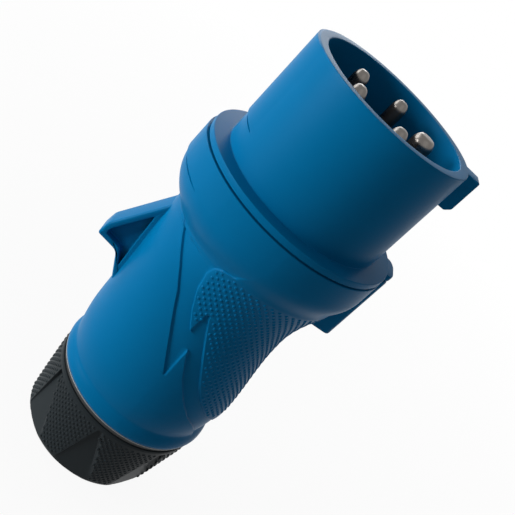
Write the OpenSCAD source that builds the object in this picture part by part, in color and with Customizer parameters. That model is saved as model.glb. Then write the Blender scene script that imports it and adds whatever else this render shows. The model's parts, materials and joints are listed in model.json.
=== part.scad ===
// Industrial pin and sleeve plug, five pole, 16 A size.
// The plug stands on its gland nut. Z is the mating direction, the major key
// faces -Y and the rib faces +Y. The origin is the centre of the nut's rear face.

/* [Sleeve] */
// Outside diameter of the contact sleeve
sleeve_d = 57; // [56:0.5:59]
// Wall thickness of the sleeve
sleeve_wall = 3.3; // [2.8:0.1:3.6]
// Length of the sleeve in front of the lip
sleeve_len = 37.6; // [34:0.2:42]
// Width of the major key at the sleeve
key_w = 7; // [5:0.5:9]
// Height of the major key above the sleeve
key_h = 4.4; // [3:0.2:5]
// Length of the major key, back from the rim
key_len = 12.5; // [9:0.5:16]

/* [Contacts] */
// Radius of the circle that the pins stand on
pitch_r = 13.5; // [13:0.25:14]
// Diameter of the earth pin
earth_d = 7; // [6:0.5:7.5]
// Diameter of the phase and neutral pins
pole_d = 5; // [4.5:0.5:6]
// How far the pin tips stay behind the rim
tip_drop = 0.8; // [0:0.2:3]

/* [Flange] */
// Diameter of the flange at the parting line
flange_d = 69; // [68.6:0.2:73]
// Length of the flange behind the parting line
flange_len = 17; // [15:0.5:20]
// Thickness of the front housing's lip
lip_t = 2.1; // [1.8:0.1:3]
// Radial reach of the locking nose, from the sleeve's axis
nose_reach = 36.5; // [36:0.1:38]

/* [Handle] */
// Length of the handle, from the parting line to its rear face
handle_len = 88.7; // [86:0.5:96]
// Diameter of the waist behind the flange
waist_d = 53.2; // [52.5:0.2:55]
// How much the grip is wider than the waist
grip_flare = 2.9; // [2:0.1:3.5]
// Sideways step from the sleeve's axis to the gland's axis
gland_offset = 4.5; // [3.5:0.25:5]
// Wall thickness of the handle
wall = 3; // [2.5:0.1:3.2]
// Height of the raised grip fields
field_h = 0.7; // [0.4:0.1:1]
// Thickness of the rib
rib_t = 9; // [7:0.5:11]
// Reach of the rib from the sleeve's axis
rib_reach = 38.4; // [37:0.2:41]

/* [Cable gland] */
// Length of the gland nut
nut_len = 27.3; // [26:0.5:30]
// Diameter of the nut at its front edge
nut_d = 55.4; // [54:0.2:56]
// How much narrower the nut is at its rear
nut_taper = 6; // [4:0.5:8]
// Number of smooth thumb facets on the nut
nut_facets = 7; // [5:1:9]
// Diameter of the threaded neck
neck_thread_d = 41; // [40:0.5:42]
// Diameter of the cable opening in the nut
cable_hole_d = 24; // [22:0.5:25]
// Diameter of the hole through the rubber grommet
grommet_hole_d = 16; // [14:0.5:18]

/* [Clearances] */
// Radial gap where one piece sits inside another
fit_gap = 0.1; // [0.05:0.05:0.2]
// Radial gap between the nut and the threaded neck
thread_gap = 0.3; // [0.2:0.05:0.4]

/* [Hidden] */
$fn = 96;
eps = 0.01;
POLES = ["line_1_pin", "line_2_pin", "line_3_pin", "neutral_pin"];

// Colours
blue = [0.02, 0.42, 0.66];
charcoal = [0.19, 0.22, 0.23];
black = [0.05, 0.05, 0.05];
grey = [0.62, 0.65, 0.66];
nickel = [0.62, 0.59, 0.55];
brass = [0.78, 0.63, 0.30];

// Heights, from the nut's rear face up to the rim
seal_t = 1.5;
washer_t = 0.8;
seal_z = nut_len;
washer_z = seal_z + seal_t;
rear_z = washer_z + washer_t;
split_z = rear_z + handle_len;
lip_z = split_z + lip_t;
rim_z = lip_z + sleeve_len;
shoulder_z = split_z - flange_len;
shoulder_len = 7.5;
neck_z = shoulder_z - shoulder_len;

// Radii about the sleeve's axis
sleeve_r = sleeve_d / 2;
sleeve_in = sleeve_r - sleeve_wall;
flange_r = flange_d / 2;
lip_r = flange_r - 0.2;
spigot_wall = 4.2;
spigot_r = flange_r - spigot_wall;
spigot_len = 15;
spigot_z = split_z - spigot_len;
bead_h = 0.7;
bead_z = spigot_z + 2;
seal_groove_r = spigot_r - 1.6;
seal_groove_z = split_z - 6;
seal_groove_w = 2.6;
groove_gap = 0.6;
groove_depth = 0.5;
lip_edge = 0.35;
rim_edge = 0.4;
pad_h = 0.5;
pad_start = 8;
flange_pad_len = 9.8;
key_draft = 0.6;
key_chamfer = 1.6;

// Handle surface
waist_r = waist_d / 2;
collar_r = 28.3;
collar_round = 9;
collar_rear_r = 27.9;
collar_z = rear_z + 1.4;
bend_top = rear_z + 0.66 * handle_len;
bend_len = 0.586 * handle_len;
waist_z = rear_z + 0.523 * handle_len;
flare_len = 0.338 * handle_len;
fade_z = rear_z + 0.196 * handle_len;
rise_z = rear_z + 0.568 * handle_len;
rise_rate = 0.0104;
fade_rate = 0.0115;

// Locking nose
nose_z = split_z - 26.3;
nose_root_w = 7.6;
nose_root_y = waist_r - 1;
nose_mid_w = 5.6;
nose_drop = 1.1;
nose_top_w = 3;

// Rib
rib_root = waist_r - 0.8;
rib_web = 3;

// Contacts
floor_z = lip_z - 0.9;
carrier_t = 9.5;
carrier_r = sleeve_in - fit_gap;
carrier_z = floor_z - carrier_t;
seat_w = 1;
seat_ledge = 1.4;
block_r = 20.5;
block_len = 19;
block_z = carrier_z - block_len;
barrel_r = 4.5;
barrel_len = 17;
barrel_z = carrier_z - barrel_len;
collar_t = 2;
screw_r = 1.75;
screw_head_r = 2.6;
screw_z = barrel_z + 6;
screw_tip = 2.3;
screw_len = 5.2;
screw_head_t = 1.6;
wire_r = 2.1;
wire_depth = 11;
step_angle = 72;
earth_angle = 270;
tip_z = rim_z - tip_drop;
root_relief = 0.3;
carrier_step = 1.4;
root_z = carrier_z + carrier_t + carrier_step + 0.5;
carrier_screw_r = 7;
carrier_screw_grip = 6;
carrier_screw_head_r = 3;
carrier_screw_head_t = 2;

// Gland
thread_r = neck_thread_d / 2;
neck_len = 17;
neck_end = rear_z - neck_len;
bore_r = 16;
seat_r = 13;
seat_t = 4;
cavity_z = rear_z + 14.4;
seat_z = cavity_z - seat_t;
ring_t = 2.4;
cage_flange_t = 2;
ring_z = neck_end - cage_flange_t - ring_t;
nut_round = 3;
nut_r = nut_d / 2;
nut_rear_r = nut_r - nut_taper / 2;
cage_z = neck_end - cage_flange_t;
cage_len = 15;
cage_wall = 2.4;
grommet_len = seat_z - cage_z - cage_len;
slot_count = 8;
slot_w = 1.2;
facet_start = 174.7;
facet_depth = 1.2;
facet_front = 1.8;
facet_step_turn = 10;
facet_ridge_turn = 26;

// Edges between the fields of the grip on the -X side, from the rib round to the key.
// Each edge is a line of points: a share of the handle's length and an angle.
EDGES = [
    [[0, 181], [0.33, 181], [0.45, 170], [0.59, 156], [0.65, 149], [0.7, 141], [0.75, 132], [0.79, 126], [0.88, 121]],
    [[0, 182], [0.33, 182], [0.45, 184], [0.52, 169], [0.65, 154], [0.75, 141], [0.88, 131]],
    [[0, 250], [0.08, 240], [0.16, 225], [0.21, 213], [0.27, 203], [0.34, 194], [0.42, 187], [0.45, 185], [0.52, 173],
     [0.65, 159], [0.75, 150], [0.88, 146]],
    [[0, 254], [0.08, 246], [0.18, 230], [0.27, 208], [0.34, 199], [0.42, 191], [0.52, 177], [0.58, 170], [0.65, 164],
     [0.72, 161], [0.88, 162]],
    [[0, 258], [0.08, 250], [0.18, 235], [0.27, 212], [0.34, 203], [0.43, 194], [0.52, 178], [0.6, 179], [0.88, 178]],
    [[0, 263], [0.08, 256], [0.18, 241], [0.22, 228], [0.29, 214], [0.35, 206], [0.43, 198], [0.52, 189], [0.6, 181],
     [0.88, 181]]];
// Share of the length over which each field between the edges is raised
RAISED = [[0, 1], [0, 0.325], [0, 0.45], [0, 0], [0.515, 1], [0.605, 1], [0.18, 1]];
// How many cells each field has round the handle
CELLS = [8, 2, 4, 1, 1, 1, 7];
// Where the rings of the grip's surface stand, close together at the ends of the fields
RINGS = [0.03, 0.1, 0.17, 0.19, 0.25, 0.32, 0.33, 0.39, 0.44, 0.455, 0.51, 0.52, 0.56, 0.6, 0.61, 0.67, 0.72, 0.76];
step_turn = 0.8;

// Smooth step from 0 to 1 while t goes from 0 to 1
function ease(t) = let (u = max(0, min(1, t))) u * u * (3 - 2 * u);
// Sideways place of the handle's section at height z
function body_y(z) = gland_offset - (gland_offset - 0.5) * ease((bend_top - z) / bend_len);
// Radius of the handle's section at height z
function body_r(z) = waist_r + grip_flare / 2 * ease((waist_z - z) / flare_len)
    + rise_rate * pow(max(0, z - rise_z), 2) - fade_rate * pow(max(0, fade_z - z), 2);
// Point of the handle's surface at height z and angle a, raised by h
function skin(z, a, h) = [(body_r(z) + h) * cos(a), body_y(z) + (body_r(z) + h) * sin(a), z];
// Value of a piecewise smooth line through [key, value] pairs
function follow(line, x, i = 0) = i >= len(line) - 2 || x <= line[i + 1][0]
    ? line[i][1] + (line[i + 1][1] - line[i][1]) * max(0, min(1, (x - line[i][0]) / (line[i + 1][0] - line[i][0])))
    : follow(line, x, i + 1);
// Point at radius r, angle a and height z
function polar(r, a, z) = [r * cos(a), r * sin(a), z];
// Radius of the nut at height z
function nut_skin(z) = nut_rear_r + (nut_r - nut_rear_r) * z / nut_len;
// Height at a share of the handle's length
function at(share) = rear_z + share * handle_len;

// Whether field k is raised at a share of the length
function lift(k, share) = share > RAISED[k][0] && share < RAISED[k][1] ? field_h : 0;
// Angle and height of every point round the -X side of the grip, from the rib to the key
function half_ring(share) = [for (k = [0:len(CELLS) - 1])
    let (a0 = k == 0 ? 90 : follow(EDGES[k - 1], share) + step_turn / 2,
         a1 = k == len(EDGES) ? 270 : follow(EDGES[k], share) - step_turn / 2)
    for (j = [0:CELLS[k]]) [a0 + (a1 - a0) * j / CELLS[k], lift(k, share)]];
// The same round the whole grip
function full_ring(share) = let (half = half_ring(share), n = len(half))
    [each half, for (i = [n - 2:-1:1]) [180 - half[i][0], half[i][1]]];

// Solid through rings of points, each ring with the same number of points
module rings_solid(rings)
{
    n = len(rings[0]);
    walls = [for (i = [0:len(rings) - 2]) for (j = [0:n - 1]) let (k = (j + 1) % n)
        [i * n + j, (i + 1) * n + j, (i + 1) * n + k, i * n + k]];
    polyhedron([for (r = rings) each r],
               [[for (j = [0:n - 1]) j], [for (j = [n - 1:-1:0]) (len(rings) - 1) * n + j], each walls],
               convexity = 6);
}

// The grip with its raised fields
module grip()
    rings_solid([for (s = RINGS) [for (p = full_ring(s)) skin(at(s), p[0], p[1])]]);

// The hollow inside the grip, between two heights
module grip_hollow(z0, z1, rings = 8, sides = 24)
    rings_solid([for (i = [0:rings]) [for (j = [0:sides - 1])
        skin(z0 + (z1 - z0) * i / rings, 360 * j / sides, -wall)]]);

// Solid of revolution about the gland's axis, from [radius, height] points
module turned(points) rotate_extrude() polygon(points);

// Tube about the gland's axis
module tube(outer, inner, z0, z1) turned([[inner, z0], [outer, z0], [outer, z1], [inner, z1]]);

// Places its children on the sleeve's axis
module on_sleeve_axis() translate([0, gland_offset, 0]) children();

// Places its children at pin i, counted from the earth pin
module at_pin(i) on_sleeve_axis() rotate(earth_angle + i * step_angle) translate([pitch_r, 0, 0]) children();

// Places its children at all pins but the earth
module at_poles() for (i = [1:len(POLES)]) at_pin(i) children();

// Mirrored pair about the plane of the key and the rib
module both_sides()
{
    children();
    mirror([1, 0, 0]) children();
}

// Low raised pad opposite the key: a narrower cylinder pushed outward
module pad(radius, narrower, z0, z1)
    translate([0, narrower + pad_h, z0]) cylinder(r = radius - narrower, h = z1 - z0);

// Locking nose at the key side of the flange, between two heights
module nose(z0, z1)
    translate([0, 0, z0]) linear_extrude(z1 - z0)
        polygon([[-nose_root_w, -nose_root_y], [nose_root_w, -nose_root_y],
                 [nose_mid_w, -nose_reach + nose_drop], [nose_top_w, -nose_reach],
                 [-nose_top_w, -nose_reach], [-nose_mid_w, -nose_reach + nose_drop]]);

// ---- Front housing: sleeve, major key, lip and the spigot that enters the handle ----

module major_key()
    difference() {
        translate([0, 0, rim_z - key_len]) linear_extrude(key_len)
            polygon([[-key_w / 2, -sleeve_r + 1], [key_w / 2, -sleeve_r + 1],
                     [key_w / 2 - key_draft, -sleeve_r - key_h], [-key_w / 2 + key_draft, -sleeve_r - key_h]]);
        translate([0, -sleeve_r - key_h, rim_z - key_len]) rotate([45, 0, 0])
            cube([key_w * 2, key_chamfer, key_chamfer], center = true);
    }

module front_housing()
    color(blue) on_sleeve_axis() difference() {
        union() {
            turned([[0, spigot_z], [spigot_r - 0.6, spigot_z], [spigot_r, spigot_z + 0.6],
                    [spigot_r, split_z], [lip_r - lip_edge, split_z], [lip_r, split_z + lip_edge],
                    [lip_r, lip_z - lip_edge], [lip_r - lip_edge, lip_z], [sleeve_r, lip_z],
                    [sleeve_r, rim_z - rim_edge], [sleeve_r - rim_edge, rim_z], [0, rim_z]]);
            turned([[spigot_r - 1, bead_z], [spigot_r, bead_z], [spigot_r + bead_h, bead_z + 1],
                    [spigot_r, bead_z + 2], [spigot_r - 1, bead_z + 2]]);
            pad(sleeve_r, 3.5, lip_z + pad_start, rim_z - rim_edge);
            major_key();
            nose(split_z, lip_z);
        }
        translate([0, 0, spigot_z - eps]) cylinder(r = sleeve_in, h = floor_z - spigot_z);
        translate([0, 0, floor_z - 2 * eps]) cylinder(r = sleeve_in - seat_w, h = rim_z - floor_z);
        translate([0, 0, floor_z + seat_ledge]) cylinder(r = sleeve_in, h = rim_z - floor_z);
        tube(spigot_r + 1, seal_groove_r, seal_groove_z, seal_groove_z + seal_groove_w);
    }

// ---- Handle: flange, grip, rib, nose, collar and threaded neck in one moulding ----

module flange_body()
    on_sleeve_axis() {
        turned([[0, neck_z], [waist_r + 1.9, neck_z], [flange_r - 1.9, neck_z + 4.2], [flange_r - 0.9, neck_z + 6.2],
                [flange_r - 0.3, shoulder_z + 1], [flange_r, shoulder_z + 4.5], [flange_r, split_z - groove_gap],
                [lip_r - groove_depth, split_z - groove_gap], [lip_r - groove_depth, split_z], [0, split_z]]);
        pad(flange_r, 1.9, split_z - flange_pad_len, split_z - groove_gap);
        nose(nose_z, split_z - groove_gap);
    }

module rib()
    translate([-rib_t / 2, gland_offset, 0]) rotate([90, 0, 90]) linear_extrude(rib_t)
        polygon([[rib_root, at(0.72)], [rib_root + 1.4, at(0.71)], [rib_reach - 0.8, at(0.485)], [rib_reach, at(0.47)],
                 [rib_reach, at(0.43)], [rib_reach - 8, at(0.414)], [rib_root - 0.8, at(0.3)], [rib_root - 4, at(0.27)]]);

module rib_recess()
    both_sides() translate([rib_web / 2, gland_offset, 0]) rotate([90, 0, 90]) linear_extrude(rib_t)
        polygon([[rib_root + 2.6, at(0.62)], [rib_reach - 2.3, at(0.469)], [rib_reach - 2.2, at(0.445)],
                 [rib_reach - 8.4, at(0.434)], [rib_root + 1, at(0.374)]]);

module handle()
    color(blue) difference() {
        union() {
            grip();
            flange_body();
            rib();
            turned([[0, rear_z], [collar_rear_r, rear_z], [collar_r, collar_z],
                    for (a = [15:15:75]) [collar_r - collar_round * (1 - cos(a)), collar_z + collar_round * sin(a)],
                    [0, collar_z + collar_round]]);
            tube(thread_r, bore_r - 1, neck_end, rear_z + 1);
        }
        rib_recess();
        grip_hollow(cavity_z, neck_z + 1);
        translate([0, 0, neck_end - eps]) cylinder(r = bore_r, h = seat_z - neck_end + eps);
        translate([0, 0, neck_end]) cylinder(r = seat_r, h = cavity_z - neck_end + 1);
        on_sleeve_axis() {
            translate([0, 0, neck_z]) cylinder(r = waist_r + 1 - wall, h = split_z - neck_z);
            translate([0, 0, spigot_z - 1]) cylinder(r = spigot_r + fit_gap, h = spigot_len + 2);
            turned([[spigot_r - 1, bead_z - 0.2], [spigot_r + fit_gap, bead_z - 0.2],
                    [spigot_r + fit_gap + bead_h, bead_z + 1],
                    [spigot_r + fit_gap, bead_z + 2.2], [spigot_r - 1, bead_z + 2.2]]);
        }
    }

module housing_seal()
    color(black) on_sleeve_axis()
        tube(spigot_r + fit_gap / 2, seal_groove_r, seal_groove_z + fit_gap, seal_groove_z + seal_groove_w - fit_gap);

// ---- Contact insert ----

module contact_carrier()
    color(grey) difference() {
        on_sleeve_axis() {
            translate([0, 0, carrier_z]) cylinder(r = carrier_r, h = carrier_t);
            translate([0, 0, floor_z - eps]) cylinder(r = carrier_r - seat_w - fit_gap, h = carrier_step);
        }
        at_pin(0) translate([0, 0, carrier_z - 1]) cylinder(d = earth_d + 2 * fit_gap, h = carrier_t + carrier_step + 2);
        at_poles() translate([0, 0, carrier_z - 1]) cylinder(d = pole_d + 2 * fit_gap, h = carrier_t + carrier_step + 2);
        for (i = [0:len(POLES)]) at_pin(i)
            translate([0, 0, carrier_z - 1]) cylinder(r = barrel_r + fit_gap, h = 1 + collar_t);
        at_carrier_screws() translate([0, 0, carrier_z - 1]) cylinder(r = screw_r, h = 1 + carrier_screw_grip);
    }

// Places its children at the two screws that hold the carrier and the block together
module at_carrier_screws() on_sleeve_axis() for (y = [0, carrier_screw_r * 2]) translate([0, y, 0]) children();

module terminal_block()
    color(charcoal) difference() {
        on_sleeve_axis() translate([0, 0, block_z]) cylinder(r = block_r, h = block_len);
        for (i = [0:len(POLES)]) at_pin(i) {
            translate([0, 0, block_z - 1]) cylinder(r = barrel_r + fit_gap, h = block_len + 2);
            translate([0, 0, screw_z]) rotate([0, 90, 0]) cylinder(r = screw_head_r + 2 * fit_gap, h = block_r);
        }
        at_carrier_screws() {
            translate([0, 0, block_z - 1]) cylinder(r = screw_r + fit_gap, h = block_len + 2);
            translate([0, 0, block_z - 1]) cylinder(r = carrier_screw_head_r + fit_gap, h = 1 + carrier_screw_head_t);
        }
    }

module carrier_screws()
    color(nickel) at_carrier_screws() difference() {
        union() {
            translate([0, 0, block_z]) cylinder(r = carrier_screw_head_r, h = carrier_screw_head_t);
            translate([0, 0, block_z]) cylinder(r = screw_r, h = block_len + carrier_screw_grip);
        }
        translate([0, 0, block_z]) cube([carrier_screw_head_r * 3, 0.8, 1.2], center = true);
    }

// One contact: pin, collar and terminal barrel turned from one bar
module contact(d)
    color(nickel) difference() {
        turned([[0, barrel_z], [barrel_r, barrel_z], [barrel_r, carrier_z + collar_t],
                [d / 2 - root_relief, carrier_z + collar_t], [d / 2 - root_relief, root_z], [d / 2, root_z],
                [d / 2, tip_z - 1.2], [d / 2 - 0.35, tip_z - 0.45],
                [d / 2 - 0.9, tip_z], [0, tip_z]]);
        translate([0, 0, barrel_z - 1]) cylinder(r = wire_r, h = 1 + wire_depth);
        translate([0, 0, screw_z]) rotate([0, 90, 0]) cylinder(r = screw_r + fit_gap, h = barrel_r + 1);
    }

// Slotted terminal screw, pointing at the contact's wire hole
module terminal_screw()
    color(brass) translate([screw_tip, 0, screw_z]) rotate([0, 90, 0]) difference() {
        union() {
            cylinder(r = screw_r, h = screw_len);
            translate([0, 0, screw_len - screw_head_t]) cylinder(r = screw_head_r, h = screw_head_t);
        }
        translate([0, 0, screw_len]) cube([screw_head_r * 3, 0.7, 1.4], center = true);
    }

module earth_pin() at_pin(0) contact(earth_d);
module line_1_pin() at_pin(1) contact(pole_d);
module line_2_pin() at_pin(2) contact(pole_d);
module line_3_pin() at_pin(3) contact(pole_d);
module neutral_pin() at_pin(4) contact(pole_d);
module earth_terminal_screw() at_pin(0) terminal_screw();
module line_1_terminal_screw() at_pin(1) terminal_screw();
module line_2_terminal_screw() at_pin(2) terminal_screw();
module line_3_terminal_screw() at_pin(3) terminal_screw();
module neutral_terminal_screw() at_pin(4) terminal_screw();

// ---- Cable gland ----

module slip_washer() color(grey) tube(nut_r + 0.2, thread_r + thread_gap, washer_z, rear_z);

module neck_seal() color(black) tube(nut_r - 0.6, thread_r + thread_gap, seal_z, washer_z);

module clamp_cage()
    color(grey) difference() {
        turned([[bore_r - fit_gap - cage_wall, cage_z], [thread_r - 1, cage_z], [thread_r - 1, neck_end],
                [bore_r - fit_gap, neck_end], [bore_r - fit_gap, cage_z + cage_len],
                [bore_r - fit_gap - cage_wall, cage_z + cage_len]]);
        for (i = [0:slot_count - 1]) rotate(360 * i / slot_count)
            translate([0, -slot_w / 2, neck_end + 1]) cube([bore_r, slot_w, cage_len]);
    }

module cable_grommet()
    color(black) tube(bore_r - fit_gap, grommet_hole_d / 2, cage_z + cage_len, seat_z);

module pressure_ring() color(grey) tube(thread_r - 0.6, cable_hole_d / 2 + 0.6, ring_z, cage_z);

// Thumb facet: a flat triangle that is deepest at its front point and runs out at the rear
module thumb_facet(a)
{
    front = nut_len - facet_front;
    corners = [[nut_skin(front) - facet_depth, a, front],
               [nut_skin(0) - facet_depth / 4, a - facet_step_turn, -1],
               [nut_skin(0) + 0.1, a + facet_ridge_turn, -1]];
    polyhedron([for (c = corners) polar(c[0], c[1], c[2]), for (c = corners) polar(nut_r + 4, c[1], c[2])],
               [[0, 1, 2], [3, 5, 4], [0, 3, 4, 1], [1, 4, 5, 2], [2, 5, 3, 0]]);
}

module gland_nut()
    color(charcoal) difference() {
        turned([[0, 0], [nut_rear_r - nut_round, 0],
                for (a = [30:30:90]) [nut_rear_r - nut_round * (1 - sin(a)), nut_round * (1 - cos(a))],
                [nut_r, nut_len - 0.8], [nut_r - 0.5, nut_len], [0, nut_len]]);
        translate([0, 0, -1]) cylinder(d = cable_hole_d, h = nut_len + 2);
        translate([0, 0, ring_z]) cylinder(r = thread_r + thread_gap, h = nut_len);
        for (i = [0:nut_facets - 1]) thumb_facet(facet_start + 360 * i / nut_facets);
    }

front_housing();
handle();
housing_seal();
contact_carrier();
terminal_block();
carrier_screws();
earth_pin();
line_1_pin();
line_2_pin();
line_3_pin();
neutral_pin();
earth_terminal_screw();
line_1_terminal_screw();
line_2_terminal_screw();
line_3_terminal_screw();
neutral_terminal_screw();
slip_washer();
neck_seal();
clamp_cage();
cable_grommet();
pressure_ring();
gland_nut();
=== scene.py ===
import json
import math

import bpy
import numpy as np
from mathutils import Matrix, Vector

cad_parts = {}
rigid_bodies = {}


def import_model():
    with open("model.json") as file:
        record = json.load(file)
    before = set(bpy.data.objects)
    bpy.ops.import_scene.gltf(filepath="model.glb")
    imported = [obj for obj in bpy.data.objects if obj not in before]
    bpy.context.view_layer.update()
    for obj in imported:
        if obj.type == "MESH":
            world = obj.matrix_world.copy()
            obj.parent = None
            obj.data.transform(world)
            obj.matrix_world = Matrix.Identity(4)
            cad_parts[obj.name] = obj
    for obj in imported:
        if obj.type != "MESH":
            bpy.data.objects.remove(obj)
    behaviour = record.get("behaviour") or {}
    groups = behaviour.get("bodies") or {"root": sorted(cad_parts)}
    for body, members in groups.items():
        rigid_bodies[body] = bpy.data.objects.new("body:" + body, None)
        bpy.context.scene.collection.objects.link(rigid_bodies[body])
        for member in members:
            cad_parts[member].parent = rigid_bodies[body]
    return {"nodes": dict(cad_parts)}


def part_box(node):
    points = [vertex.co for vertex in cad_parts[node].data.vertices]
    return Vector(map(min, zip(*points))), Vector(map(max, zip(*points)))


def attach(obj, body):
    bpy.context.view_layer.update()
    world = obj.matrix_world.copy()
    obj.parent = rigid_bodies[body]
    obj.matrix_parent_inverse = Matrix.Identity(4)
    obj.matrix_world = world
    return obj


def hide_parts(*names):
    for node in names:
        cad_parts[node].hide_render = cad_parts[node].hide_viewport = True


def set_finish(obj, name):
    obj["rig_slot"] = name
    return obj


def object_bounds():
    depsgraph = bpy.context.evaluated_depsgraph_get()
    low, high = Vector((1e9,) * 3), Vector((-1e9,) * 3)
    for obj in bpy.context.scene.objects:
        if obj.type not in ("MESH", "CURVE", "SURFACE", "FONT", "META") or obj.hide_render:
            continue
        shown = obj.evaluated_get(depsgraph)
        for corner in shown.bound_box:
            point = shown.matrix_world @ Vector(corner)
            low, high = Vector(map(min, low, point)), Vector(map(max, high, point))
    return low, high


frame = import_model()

startBox = [list(map(float, corner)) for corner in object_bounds()]
mm = 0.001  # lengths below are in millimetres until a mesh, a lamp or the camera is made


# lowest and highest corner of a CAD node, in millimetres
def nodeBox(name):
    low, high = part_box(name)
    return np.array(low) / mm, np.array(high) / mm


nutHigh, handleHigh, frontHigh = (nodeBox(name)[1] for name in ("gland_nut", "handle", "front_housing"))
washerLow, washerHigh = nodeBox("slip_washer")
sealLow, sealHigh = nodeBox("neck_seal")
insertLow, insertHigh = nodeBox("contact_carrier")

plug = {
    "axisY": (insertLow[1] + insertHigh[1]) / 2,  # the sleeve's axis, aside from the gland's
    "rearZ": washerHigh[2],
    "splitZ": handleHigh[2],
    "rimZ": frontHigh[2],
    "lipThick": 2.1,
    "grooveGap": 0.6,  # width of the parting groove behind the lip
    "lineBack": 0.3,  # the fine line lies this far behind a pad's edge
    "lineHalf": 0.26,
    "padRise": 0.12,
}
plug["length"] = plug["splitZ"] - plug["rearZ"]
plug["lipZ"] = plug["splitZ"] + plug["lipThick"]
print("frame read, handle", round(plug["length"], 1), "mm long")


# smooth step from 0 to 1: 3 t^2 - 2 t^3
def ease(t):
    t = np.clip(t, 0, 1)
    return t * t * (3 - 2 * t)


# linear colour from screen values of 0 to 255: c / 12.92 below 0.04, ((c + 0.055) / 1.055)^2.4 above
def screenColor(red, green, blue):
    c = np.array([red, green, blue]) / 255
    return tuple(np.where(c < 0.04045, c / 12.92, ((c + 0.055) / 1.055) ** 2.4)) + (1.0,)


# quads of a grid: row i and column j join row i+1 and column j+1, wrapping where a side closes
def gridQuads(rows, cols, closeRows, closeCols):
    i = np.arange(rows if closeRows else rows - 1)
    j = np.arange(cols if closeCols else cols - 1)
    i, j = np.meshgrid(i, j, indexing="ij")
    i2, j2 = (i + 1) % rows, (j + 1) % cols
    quads = np.stack([i * cols + j, i * cols + j2, i2 * cols + j2, i2 * cols + j], -1)
    return quads.reshape(-1, 4)


# six times the volume inside a closed shell: the sum of a . (b x c) over its triangles
def shellVolume(verts, quads, fans):
    tris = [quads[:, [0, 1, 2]], quads[:, [0, 2, 3]]]
    for ring in fans:
        ring = np.asarray(ring)
        tris.append(np.stack([np.full(len(ring) - 2, ring[0]), ring[1:-1], ring[2:]], 1))
    a, b, c = (verts[np.vstack(tris)[:, k]] for k in range(3))
    return np.einsum("ij,ij->", a, np.cross(b, c))


# closed shell from a grid of points, turned so that its faces look outwards;
# its open ends get one polygon each
def gridShell(grid, closeRows=True, closeCols=True):
    rows, cols = grid.shape[:2]
    verts, quads = grid.reshape(-1, 3), gridQuads(rows, cols, closeRows, closeCols)
    fans = [] if closeRows else [np.arange(cols)[::-1], (rows - 1) * cols + np.arange(cols)]
    if shellVolume(verts, quads, fans) < 0:
        quads, fans = quads[:, ::-1], [ring[::-1] for ring in fans]
    return verts, quads, fans


# mesh object from shells in millimetres; a fan closes a ring with one polygon
def makeObject(name, shells, body, nodes=(), slotName=None, sharpAngle=32):
    verts, quads, fans = joinShells(shells)
    mesh = bpy.data.meshes.new(name)
    faces = [quads.astype(np.int32).ravel()]
    starts = [np.arange(len(quads)) * 4]
    totals = [np.full(len(quads), 4)]
    used = len(quads) * 4
    for ring in fans:
        faces.append(np.asarray(ring, np.int32))
        starts.append(np.array([used]))
        totals.append(np.array([len(ring)]))
        used += len(ring)
    mesh.vertices.add(len(verts))
    mesh.vertices.foreach_set("co", (np.asarray(verts) * mm).astype(np.float32).ravel())
    loops = np.concatenate(faces)
    mesh.loops.add(len(loops))
    mesh.loops.foreach_set("vertex_index", loops)
    starts = np.concatenate(starts).astype(np.int32)
    mesh.polygons.add(len(starts))
    mesh.polygons.foreach_set("loop_start", starts)
    mesh.polygons.foreach_set("loop_total", np.concatenate(totals).astype(np.int32))
    mesh.polygons.foreach_set("use_smooth", np.ones(len(starts), bool))
    mesh.update(calc_edges=True)
    mesh.validate()
    mesh.set_sharp_from_angle(angle=math.radians(sharpAngle))
    obj = bpy.data.objects.new(name, mesh)
    bpy.context.scene.collection.objects.link(obj)
    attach(obj, body)
    if nodes:
        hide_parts(*nodes)
    if slotName:
        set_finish(obj, slotName)
    return obj


# closed outline with round corners, each (across, along, rounding):
# (1 - t)^2 before + 2 t (1 - t) corner + t^2 after
def roundedProfile(corners, count=4):
    corners = np.array(corners, float)
    out = []
    for k in range(len(corners)):
        here, r = corners[k, :2], corners[k, 2]
        before, after = corners[k - 1, :2], corners[(k + 1) % len(corners), :2]
        toBefore = (before - here) / np.linalg.norm(before - here)
        toAfter = (after - here) / np.linalg.norm(after - here)
        if r <= 0:
            out.append(here[None])
            continue
        t = np.linspace(0, 1, count + 1)[:, None]
        p0, p2 = here + toBefore * r, here + toAfter * r
        out.append((1 - t) ** 2 * p0 + 2 * t * (1 - t) * here + t ** 2 * p2)
    return np.vstack(out)


# grid of a turned piece: x = r cos a, y = r sin a, z = height, with rows along the profile
def lathe(profile, turns, centreY=0.0, centreX=0.0):
    a = np.linspace(0, 2 * np.pi, turns, endpoint=False)
    r, z = profile[:, :1], profile[:, 1:]
    return np.stack([centreX + r * np.cos(a), centreY + r * np.sin(a), z + 0 * a], -1)


# points, quads and fans of several closed shells in one list
def joinShells(shells):
    verts, quads, fans, used = [], [], [], 0
    for v, q, f in shells:
        verts.append(v)
        quads.append(q + used)
        fans += [np.asarray(ring) + used for ring in f]
        used += len(v)
    return np.vstack(verts), np.vstack(quads), fans


# distance from a centre to a circle whose own centre lies shift away along +Y:
# r = s sin a + sqrt(R^2 - (s cos a)^2)
def circleReach(angle, shift, radius):
    inside = radius ** 2 - (shift * np.cos(angle)) ** 2
    return shift * np.sin(angle) + np.sqrt(np.maximum(inside, 0))


# larger of two values with a round valley between them: max + h^2 width / 4, where h = 1 - |a - b| / width
def smoothMax(a, b, width):
    h = np.maximum(1 - np.abs(a - b) / width, 0)
    return np.maximum(a, b) + h * h * width / 4


# a circle of this radius lies inside the grip, so that it never shows
hiddenRadius = 12.0

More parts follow.
